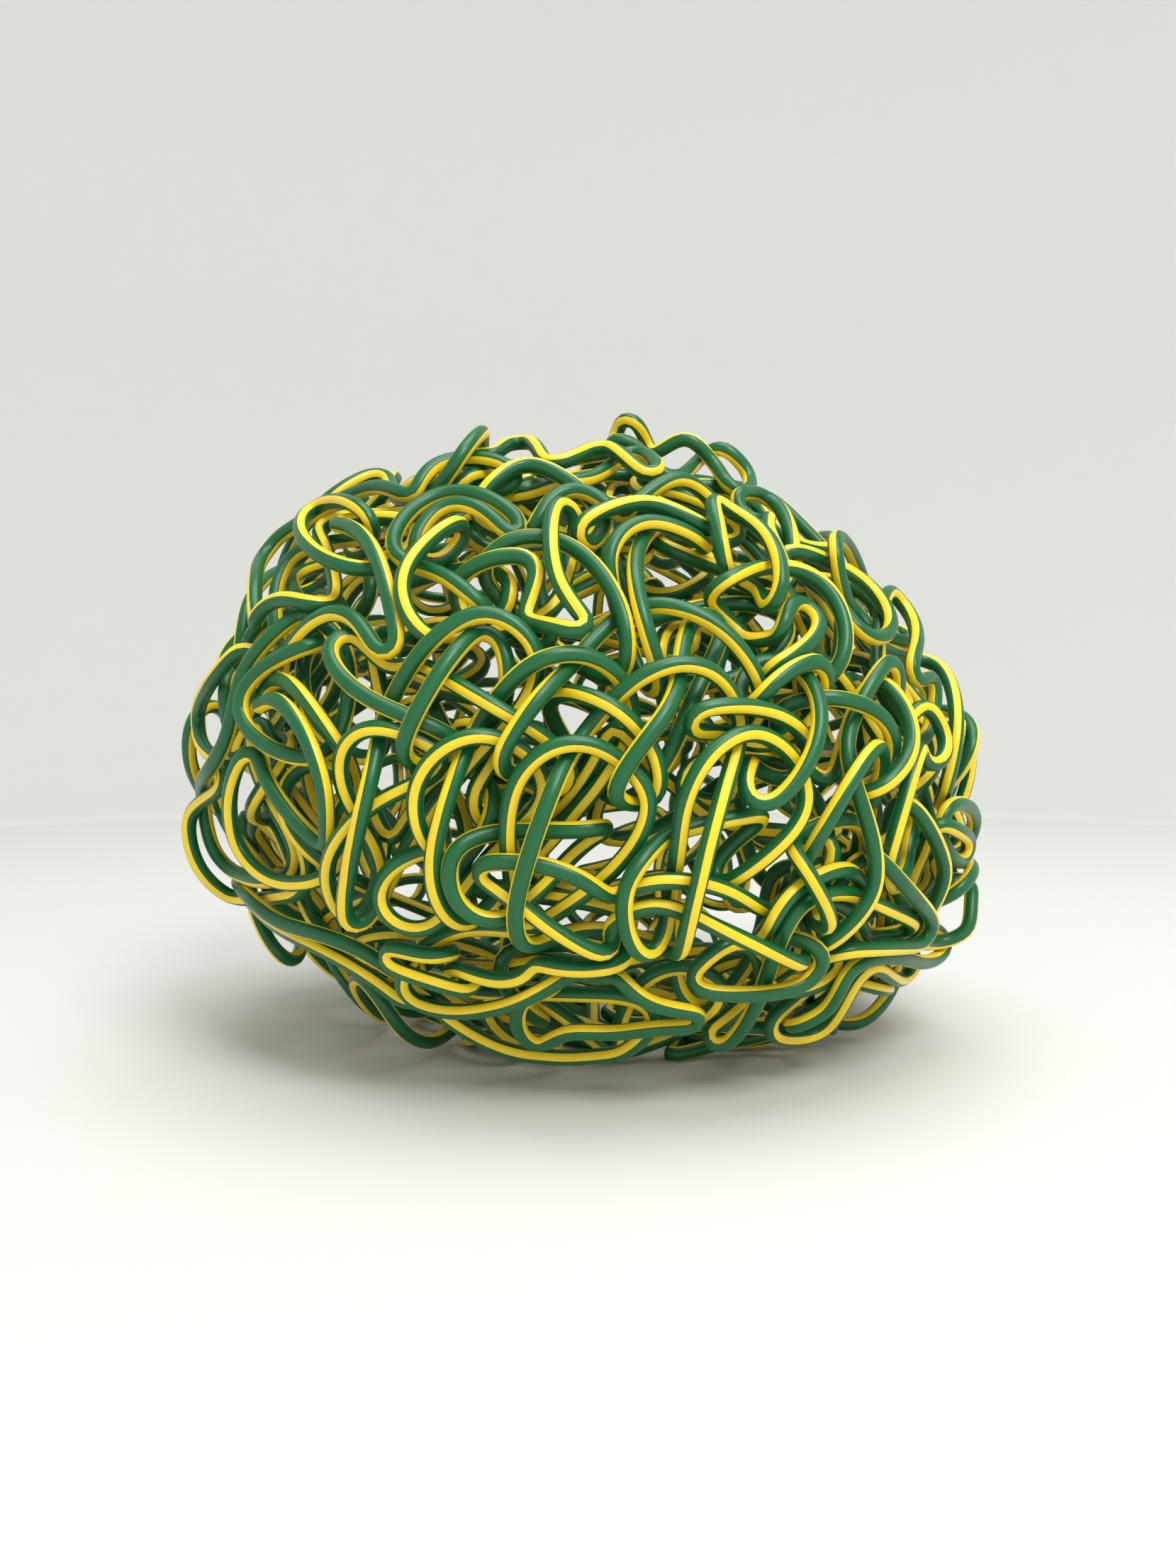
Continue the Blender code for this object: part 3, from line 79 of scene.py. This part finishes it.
# The ball's inner layers, packed behind the bands of the frame, where its gaps show dark strands.
inner = {
    "halfSizes": (108.0 * mm, 100.0 * mm, 88.5 * mm),
    "tipDegrees": 14.2,
    "middle": (0.0, 0.0, 72.0 * mm),
    "lowest": 2.5 * mm,
    # Each layer: how many cords, its share of the ball's size, front (-1) or back (1), radius, lobes.
    "layers": (
        (12, 0.89, -1.0, 38.0 * mm, 5),
        (6, 0.78, -1.0, 46.0 * mm, 5),
        (14, 0.93, 1.0, 42.0 * mm, 5),
    ),
    "lobeShare": 0.5,
    "weave": 4.0 * mm,
    "spacing": 1.8 * mm,
    "sides": 14,
    "seed": 23,
    "overlap": 1.25,
    "shiftPerShare": 9.0,
    "lean": 0.15,
    "sideFrom": (0.3, 0.1, 0.9),
}


# The middles of a CAD band's six-sided rings, in order along the band.
def ringCentres(mesh):
    shell = bmesh.new()
    shell.from_mesh(mesh)
    bmesh.ops.remove_doubles(shell, verts=shell.verts, dist=cord["mergeDistance"])
    shell.verts.ensure_lookup_table()
    radius = cord["radius"]
    slack = cord["radiusSlack"]
    votes = []
    for vert in shell.verts:
        near = []
        for edge in vert.link_edges:
            other = edge.other_vert(vert)
            if abs((other.co - vert.co).length - radius) < slack:
                near.append(other)
        for i, one in enumerate(near):
            for two in near[i + 1:]:
                if abs((one.co - two.co).length - radius * math.sqrt(3.0)) < slack:
                    votes.append((one.co + two.co - vert.co, (vert.index, one.index, two.index)))
    tree = kdtree.KDTree(len(votes))
    for i, (place, _) in enumerate(votes):
        tree.insert(place, i)
    tree.balance()
    taken = set()
    centres = []
    ringOf = {}
    for i, (place, _) in enumerate(votes):
        if i in taken:
            continue
        found = [j for _, j, _ in tree.find_range(place, cord["sameMiddle"])]
        members = set()
        for j in found:
            members.update(votes[j][1])
        if len(members) != 6:
            continue
        taken.update(found)
        middle = Vector((0.0, 0.0, 0.0))
        for k in members:
            middle += shell.verts[k].co / 6.0
            ringOf[k] = len(centres)
        centres.append(middle)
    links = [{} for _ in centres]
    for edge in shell.edges:
        a = ringOf.get(edge.verts[0].index)
        b = ringOf.get(edge.verts[1].index)
        if a is not None and b is not None and a != b:
            links[a][b] = links[a].get(b, 0) + 1
            links[b][a] = links[b].get(a, 0) + 1
    shell.free()
    # From ring to ring by the most shared edges: strands that only touch share few.
    order = [0]
    left = set(range(1, len(centres)))
    while left:
        here = order[-1]
        joined = {k: shared for k, shared in links[here].items() if k in left}
        if joined:
            following = max(joined, key=joined.get)
        elif order[0] in links[here]:
            print("  rings left out inside a tight bend:", len(left))
            break
        else:
            following = min(left, key=lambda k: (centres[k] - centres[here]).length)
            bridge = (centres[following] - centres[here]).length
            print("  a ring is bridged over", round(bridge / mm, 1), "mm")
        order.append(following)
        left.discard(following)
    closing = (centres[order[-1]] - centres[0]).length
    if closing > cord["longestStep"]:
        print("  a band closes over", round(closing / mm, 1), "mm")
    return np.array([centres[k] for k in order])


# A smooth closed curve through the ring middles, at an even spacing.
def smoothClosed(points, spacing):
    after = np.roll(points, -1, axis=0)
    before = np.roll(points, 1, axis=0)
    afterNext = np.roll(points, -2, axis=0)
    parts = []
    for i in range(len(points)):
        knots = [0.0]
        for a, b in ((before[i], points[i]), (points[i], after[i]), (after[i], afterNext[i])):
            knots.append(knots[-1] + math.sqrt(max(np.linalg.norm(b - a), 1e-6)))
        span = knots[2] - knots[1]
        left = (points[i] - before[i]) / (knots[1] - knots[0])
        left = (left - (after[i] - before[i]) / knots[2] + (after[i] - points[i]) / span) * span
        right = (after[i] - points[i]) / span - (afterNext[i] - points[i]) / (knots[3] - knots[1])
        right = (right + (afterNext[i] - after[i]) / (knots[3] - knots[2])) * span
        square = 3.0 * (after[i] - points[i]) - 2.0 * left - right
        cube = 2.0 * (points[i] - after[i]) + left + right
        t = (np.arange(cord["stepsPerPiece"]) / cord["stepsPerPiece"])[:, None]
        parts.append(points[i] + left * t + square * t ** 2 + cube * t ** 3)
    curve = evenly(np.concatenate(parts), cord["fineSpacing"])
    for _ in range(cord["softenRounds"]):
        curve = (np.roll(curve, 1, axis=0) + 2.0 * curve + np.roll(curve, -1, axis=0)) / 4.0
    # Stiff cord runs in long even arcs: wobbles are drawn out of it, and its tight turns are kept.
    window = round(cord["turnWindow"] / cord["fineSpacing"])
    tangents = np.roll(curve, -1, axis=0) - np.roll(curve, 1, axis=0)
    tangents /= np.linalg.norm(tangents, axis=1, keepdims=True)
    change = np.roll(tangents, -window, axis=0) - np.roll(tangents, window, axis=0)
    turning = np.linalg.norm(change, axis=1) / (2.0 * cord["turnWindow"])
    ease = np.clip(1.0 - turning * cord["tightRadius"], 0.0, 1.0)[:, None]
    for _ in range(cord["easeBlend"]):
        ease = (np.roll(ease, 1, axis=0) + 2.0 * ease + np.roll(ease, -1, axis=0)) / 4.0
    for _ in range(cord["easeRounds"]):
        sag = np.roll(curve, 1, axis=0) + np.roll(curve, -1, axis=0) - 2.0 * curve
        curve = curve + ease * 0.25 * sag
    return evenly(curve, spacing)


def evenly(curve, spacing):
    closed = np.concatenate([curve, curve[:1]])
    along = np.concatenate([[0.0], np.cumsum(np.linalg.norm(np.diff(closed, axis=0), axis=1))])
    places = np.linspace(0.0, along[-1], max(12, round(along[-1] / spacing)), endpoint=False)
    return np.stack([np.interp(places, along, closed[:, k]) for k in range(3)], 1)


# Pairs of points from different strands that are close enough to touch.
def touching(points, owner, place, counts, reach):
    tree = kdtree.KDTree(len(points))
    for i, point in enumerate(points):
        tree.insert(point, i)
    tree.balance()
    one = []
    two = []
    for i, point in enumerate(points):
        for _, j, _ in tree.find_range(point, reach):
            if j <= i:
                continue
            if owner[i] == owner[j]:
                gap = place[j] - place[i]
                if min(gap, counts[owner[i]] - gap) < cord["neighboursSkipped"]:
                    continue
            one.append(i)
            two.append(j)
    return np.array(one), np.array(two)


# Lobed closed lines on shells just inside the ball's, their middles on spirals round its depth.
def innerLines():
    tip = math.radians(inner["tipDegrees"])
    axes = np.array([[math.cos(tip), 0.0, -math.sin(tip)],
                     [0.0, 1.0, 0.0],
                     [math.sin(tip), 0.0, math.cos(tip)]])
    sizes = np.array(inner["halfSizes"])
    middle = np.array(inner["middle"])
    chance = np.random.default_rng(inner["seed"])
    found = []
    for count, share, facing, radius, lobes in inner["layers"]:
        for place in range(count):
            depth = facing * (1.0 - inner["overlap"] * (place + 0.5) / count)
            turn = place * goldenTurn + share * inner["shiftPerShare"]
            ring = math.sqrt(1.0 - depth ** 2)
            normal = np.array([ring * math.cos(turn), depth, ring * math.sin(turn)])
            side = np.cross(normal, inner["sideFrom"])
            side /= np.linalg.norm(side)
            rise = np.cross(normal, side)
            angles = np.linspace(0.0, 2.0 * math.pi, 12 * lobes, endpoint=False)
            wave, lean = chance.uniform(0.0, 2.0 * math.pi, 2)
            reach = radius / sizes[0] * (1.0 + inner["lobeShare"] * np.cos(lobes * angles + wave)
                                         + inner["lean"] * np.cos(2.0 * angles + lean))
            around = np.cos(angles)[:, None] * side + np.sin(angles)[:, None] * rise
            flat = normal + reach[:, None] * around
            unit = flat / np.linalg.norm(flat, axis=1, keepdims=True)
            rideUp = 1.0 + inner["weave"] / sizes[0] * np.sin((lobes + 2) * angles + lean)
            line = (unit * sizes * (share * rideUp)[:, None]) @ axes + middle
            line[:, 2] = np.maximum(line[:, 2], inner["lowest"])
            found.append(smoothClosed(line, inner["spacing"]))
    return found


# Crossing strands bear on one another without cutting in, and none goes through the floor.
def settleFinely(lines, firm):
    counts = [len(line) for line in lines]
    owner = np.repeat(np.arange(len(lines)), counts)
    place = np.concatenate([np.arange(count) for count in counts])
    starts = np.concatenate([[0], np.cumsum(counts)])[:-1]
    following = np.arange(sum(counts)) + 1
    following[np.append(starts[1:], sum(counts)) - 1] = starts
    leading = np.empty_like(following)
    leading[following] = np.arange(sum(counts))
    points = np.concatenate(lines)
    wanted = 2.0 * cord["radius"] + cord["clearance"]
    # The frame's own bands hold their places, and the inner ones give way to them.
    give = np.where(owner < firm, cord["firmGive"], 1.0)
    bent = points - (points[leading] + points[following]) / 2.0
    for step in range(cord["settleRounds"]):
        if step % cord["watchEvery"] == 0:
            one, two = touching(points, owner, place, counts, wanted + cord["watchDistance"])
        apart = points[one] - points[two]
        # The closest point along the other strand's own direction, so that the spacing doesn't matter.
        heading = points[following[two]] - points[leading[two]]
        heading /= np.linalg.norm(heading, axis=1, keepdims=True)
        slide = np.clip((apart * heading).sum(1), -cord["slideLimit"], cord["slideLimit"])
        apart = apart - heading * slide[:, None]
        distance = np.maximum(np.linalg.norm(apart, axis=1), 1e-7)
        short = np.maximum(wanted - distance, 0.0)
        push = apart / distance[:, None] * short[:, None]
        shareOne = give[one] / (give[one] + give[two])
        move = np.zeros_like(points)
        hits = np.zeros(len(points))
        np.add.at(move, one, push * shareOne[:, None])
        np.add.at(move, two, -push * (1.0 - shareOne)[:, None])
        np.add.at(hits, one, short > 0.0)
        np.add.at(hits, two, short > 0.0)
        move /= np.maximum(hits, 1.0)[:, None]
        for _ in range(cord["pushSpread"]):
            move = (move * 2.0 + move[leading] + move[following]) / 4.0
        points = points + move * cord["pushShare"]
        nowBent = points - (points[leading] + points[following]) / 2.0
        points = points - cord["shapeShare"] * (nowBent - bent)
        points[:, 2] = np.maximum(points[:, 2], cord["floorHeight"])
        if (step + 1) % cord["reportEvery"] == 0:
            print("  settling", step + 1, "deepest", round(float(short.max()) / mm, 3), "mm")
    return [points[start:start + count] for start, count in zip(starts, counts)]


# A round tube along a closed line, its UVs round the cord and along it.
def sweep(name, line, sides, twist, start):
    count = len(line)
    tangents = np.roll(line, -1, axis=0) - np.roll(line, 1, axis=0)
    tangents /= np.linalg.norm(tangents, axis=1, keepdims=True)
    side = np.cross(tangents[0], cord["sideFrom"])
    side /= np.linalg.norm(side)
    across = [side]
    for i in range(1, count + 1):
        one = Vector(tangents[i - 1])
        two = Vector(tangents[i % count])
        side = np.array(one.rotation_difference(two) @ Vector(across[-1]))
        side -= tangents[i % count] * side.dot(tangents[i % count])
        across.append(side / np.linalg.norm(side))
    rise = np.cross(tangents[0], across[0])
    closure = math.atan2(across[-1].dot(rise), across[-1].dot(across[0]))
    angles = np.arange(sides) / sides * 2.0 * math.pi
    mesh = bpy.data.meshes.new(name)
    corners = np.zeros((count, sides, 3))
    for i in range(count):
        turn = -closure * i / count
        sideHere = across[i]
        riseHere = np.cross(tangents[i], sideHere)
        around = angles[:, None] + turn
        corners[i] = line[i] + cord["radius"] * (np.cos(around) * sideHere + np.sin(around) * riseHere)
    i = np.arange(count)[:, None]
    j = np.arange(sides)[None, :]
    here, onwardRow = i * sides, (i + 1) % count * sides
    faces = np.stack([here + j, here + (j + 1) % sides, onwardRow + (j + 1) % sides, onwardRow + j], -1)
    faces = faces.reshape(-1, 4)
    mesh.vertices.add(count * sides)
    mesh.vertices.foreach_set("co", corners.reshape(-1))
    mesh.loops.add(len(faces) * 4)
    mesh.loops.foreach_set("vertex_index", faces.reshape(-1))
    mesh.polygons.add(len(faces))
    mesh.polygons.foreach_set("loop_start", np.arange(len(faces)) * 4)
    mesh.polygons.foreach_set("use_smooth", np.ones(len(faces), dtype=bool))
    mesh.update(calc_edges=True)
    steps = np.linalg.norm(np.roll(line, -1, axis=0) - line, axis=1)
    along = np.concatenate([[0.0], np.cumsum(steps)])
    roundCord = np.stack([j + 0 * i, j + 1 + 0 * i, j + 1 + 0 * i, j + 0 * i], -1) / sides
    onward = np.stack([i + 0 * j, i + 0 * j, i + 1 + 0 * j, i + 1 + 0 * j], -1)
    u = roundCord + start + twist * onward / count
    v = along[onward] / cord["lengthPerV"]
    layer = mesh.uv_layers.new(name="cord")
    layer.data.foreach_set("uv", np.stack([u, v], -1).reshape(-1))
    mesh.validate()
    band = bpy.data.objects.new(name, mesh)
    bpy.context.scene.collection.objects.link(band)
    return band


print("reading the bands' middle lines")
nodeNames = sorted(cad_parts)
rough = [smoothClosed(ringCentres(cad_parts[name].data), cord["ringSpacing"]) for name in nodeNames]
rough += innerLines()
print("settling", sum(len(line) for line in rough), "rings")
lines = settleFinely(rough, len(nodeNames))


# A colour written as sRGB hex, in the linear values that shaders take.
def toLinear(text):
    values = [int(text[k:k + 2], 16) / 255.0 for k in (1, 3, 5)]
    return tuple(c / 12.92 if c <= 0.04045 else ((c + 0.055) / 1.055) ** 2.4 for c in values) + (1.0,)


# Satin rubber cord: clean saturated colours, a soft long highlight, a thin dark line at each stripe.
skin = {
    "green": "#0E6B39",
    "greenDeep": "#08552B",
    "yellow": "#FFE226",
    "yellowDeep": "#F2CC1C",
    "edge": "#163A18",
    "stripeHalfWidth": 0.172,
    "edgeWidth": 0.018,
    "wanderSize": 14.0 * mm,
    "wander": 0.03,
    "mottleSize": 9.0 * mm,
    "grainSize": 0.35 * mm,
    "grainHeight": 0.012 * mm,
    "grainStrength": 0.6,
    "roughnessLow": 0.36 - 0.06,
    "roughnessHigh": 0.36 + 0.08,
}

material = bpy.data.materials.new("greenYellowCord")
material.use_nodes = True
tree = material.node_tree
shader = tree.nodes["Principled BSDF"]


def addNode(kind, inputs=None, **settings):
    node = tree.nodes.new(kind)
    for key, value in settings.items():
        setattr(node, key, value)
    for key, value in (inputs or {}).items():
        if isinstance(value, bpy.types.NodeSocket):
            tree.links.new(value, node.inputs[key])
        else:
            node.inputs[key].default_value = value
    return node


place = addNode("ShaderNodeTexCoord").outputs["Object"]
uv = addNode("ShaderNodeUVMap", uv_map="cord").outputs["UV"]
aroundCord = addNode("ShaderNodeSeparateXYZ", {"Vector": uv}).outputs["X"]
# The line where the colours meet wanders a little, as on extruded cord.
wander = addNode("ShaderNodeTexNoise", {"Vector": place, "Scale": 1.0 / skin["wanderSize"], "Detail": 1.0})
shift = addNode("ShaderNodeMath", {0: wander.outputs["Fac"], 1: skin["wander"]}, operation="MULTIPLY")
shifted = addNode("ShaderNodeMath", {0: aroundCord, 1: shift.outputs[0]}, operation="ADD")
doubled = addNode("ShaderNodeMath", {0: shifted.outputs[0], 1: 2.0}, operation="MULTIPLY")
part = addNode("ShaderNodeMath", {0: doubled.outputs[0]}, operation="FRACT")
centred = addNode("ShaderNodeMath", {0: part.outputs[0], 1: 0.5}, operation="SUBTRACT")
fromStripe = addNode("ShaderNodeMath", {0: centred.outputs[0]}, operation="ABSOLUTE").outputs[0]


def stripeRamp(yellow, green):
    ramp = addNode("ShaderNodeValToRGB", {"Fac": fromStripe})
    width, edge = skin["stripeHalfWidth"], skin["edgeWidth"]
    elements = ramp.color_ramp.elements
    elements[0].position, elements[0].color = width - edge * 0.7, toLinear(yellow)
    elements[1].position, elements[1].color = width + edge * 1.6, toLinear(green)
    first = elements.new(width)
    first.color = toLinear(skin["edge"])
    second = elements.new(width + edge * 0.6)
    second.color = toLinear(skin["edge"])
    return ramp.outputs["Color"]


mottle = addNode("ShaderNodeTexNoise", {"Vector": place, "Scale": 1.0 / skin["mottleSize"], "Detail": 4.0})
clear = stripeRamp(skin["yellow"], skin["green"])
deep = stripeRamp(skin["yellowDeep"], skin["greenDeep"])
blend = addNode("ShaderNodeMix", {"Factor": mottle.outputs["Fac"], "A": clear, "B": deep}, data_type="RGBA")
tree.links.new(blend.outputs["Result"], shader.inputs["Base Color"])
smudge = addNode("ShaderNodeMapRange", {
    "Value": mottle.outputs["Fac"],
    "To Min": skin["roughnessLow"],
    "To Max": skin["roughnessHigh"],
})
tree.links.new(smudge.outputs["Result"], shader.inputs["Roughness"])
grain = addNode("ShaderNodeTexNoise", {"Vector": place, "Scale": 1.0 / skin["grainSize"], "Detail": 2.0})
bump = addNode("ShaderNodeBump", {
    "Height": grain.outputs["Fac"],
    "Distance": skin["grainHeight"],
    "Strength": skin["grainStrength"],
})
tree.links.new(bump.outputs["Normal"], shader.inputs["Normal"])
shader.inputs["Metallic"].default_value = 0.0
shader.inputs["Specular IOR Level"].default_value = 0.5

print("sweeping the cord")
chance = np.random.default_rng(cord["twistSeed"])
for number, line in enumerate(lines):
    length = np.linalg.norm(np.roll(line, -1, axis=0) - line, axis=1).sum()
    halfTurns = round(length / cord["halfTurnEvery"])
    twist = 0.5 * halfTurns * (1.0 if chance.random() < 0.5 else -1.0)
    ofFrame = number < len(nodeNames)
    if ofFrame:
        name = "cord_" + nodeNames[number]
    else:
        name = f"innerCord_{number - len(nodeNames) + 1:02d}"
    piece = sweep(name, line, cord["sides"] if ofFrame else inner["sides"], twist, chance.random())
    piece.data.materials.append(material)
    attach(piece, "root")
    if ofFrame:
        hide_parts(nodeNames[number])

# A round pale floor that curves up into a wall on every side, and soft light mostly from above.
studio = {"paint": "#DEDEDB", "flatRadius": 0.75, "bend": 0.6, "bendSteps": 16, "wallTop": 2.2, "around": 96,
          "roughness": 0.85, "aim": (0.0, 0.0, 0.08), "world": 0.2,
          "topSize": 1.2, "topPower": 19.0, "topPlace": (0.1, -0.1, 1.7),
          "keySize": 0.35, "keyPower": 5.5, "keyPlace": (0.3, -0.65, 0.8)}
profile = [(studio["flatRadius"], 0.0)]
for k in range(1, studio["bendSteps"] + 1):
    lean = 0.5 * math.pi * k / studio["bendSteps"]
    reach = studio["flatRadius"] + studio["bend"] * math.sin(lean)
    profile.append((reach, studio["bend"] * (1.0 - math.cos(lean))))
profile.append((studio["flatRadius"] + studio["bend"], studio["wallTop"]))
rings = bmesh.new()
loops = []
for reach, height in profile:
    loop = []
    for k in range(studio["around"]):
        angle = 2.0 * math.pi * k / studio["around"]
        loop.append(rings.verts.new((reach * math.cos(angle), reach * math.sin(angle), height)))
    loops.append(loop)
rings.faces.new(loops[0])
for lower, upper in zip(loops, loops[1:]):
    for k in range(studio["around"]):
        following = (k + 1) % studio["around"]
        face = rings.faces.new((lower[k], lower[following], upper[following], upper[k]))
        face.smooth = True
floorMesh = bpy.data.meshes.new("studioFloor")
rings.to_mesh(floorMesh)
rings.free()
floor = bpy.data.objects.new("studioFloor", floorMesh)
bpy.context.scene.collection.objects.link(floor)
floorPaint = bpy.data.materials.new("palePaint")
floorPaint.use_nodes = True
floorShader = floorPaint.node_tree.nodes["Principled BSDF"]
floorShader.inputs["Base Color"].default_value = toLinear(studio["paint"])
floorShader.inputs["Roughness"].default_value = studio["roughness"]
floor.data.materials.append(floorPaint)

world = bpy.data.worlds.new("softRoom")
world.use_nodes = True
world.node_tree.nodes["Background"].inputs["Color"].default_value = (1.0, 1.0, 1.0, 1.0)
world.node_tree.nodes["Background"].inputs["Strength"].default_value = studio["world"]
bpy.context.scene.world = world


def addLamp(name, size, power, location, target):
    data = bpy.data.lights.new(name, "AREA")
    data.shape = "SQUARE"
    data.size = size
    data.energy = power
    lamp = bpy.data.objects.new(name, data)
    lamp.location = location
    lamp.rotation_euler = (Vector(target) - Vector(location)).to_track_quat("-Z", "Y").to_euler()
    bpy.context.scene.collection.objects.link(lamp)


addLamp("topLamp", studio["topSize"], studio["topPower"], studio["topPlace"], studio["aim"])
addLamp("keyLamp", studio["keySize"], studio["keyPower"], studio["keyPlace"], studio["aim"])

# The photograph's own eye, in front of the ball and looking a little down.
view = {"distance": 0.335, "height": 0.0875, "downDegrees": 3.25, "sensor": 36.0, "focalShare": 1655.0 / 2212.0}
camera = bpy.data.cameras.new("photoCamera")
camera.sensor_fit = "VERTICAL"
camera.sensor_height = view["sensor"]
camera.lens = view["focalShare"] * view["sensor"]
camera.clip_start = 0.01
eye = bpy.data.objects.new("photoCamera", camera)
bpy.context.scene.collection.objects.link(eye)
eye.location = (0.0, -view["distance"], view["height"])
eye.rotation_euler = (math.radians(90.0 - view["downDegrees"]), 0.0, 0.0)
bpy.context.scene.camera = eye

bpy.context.scene.view_settings.view_transform = "Standard"

print("finishing")
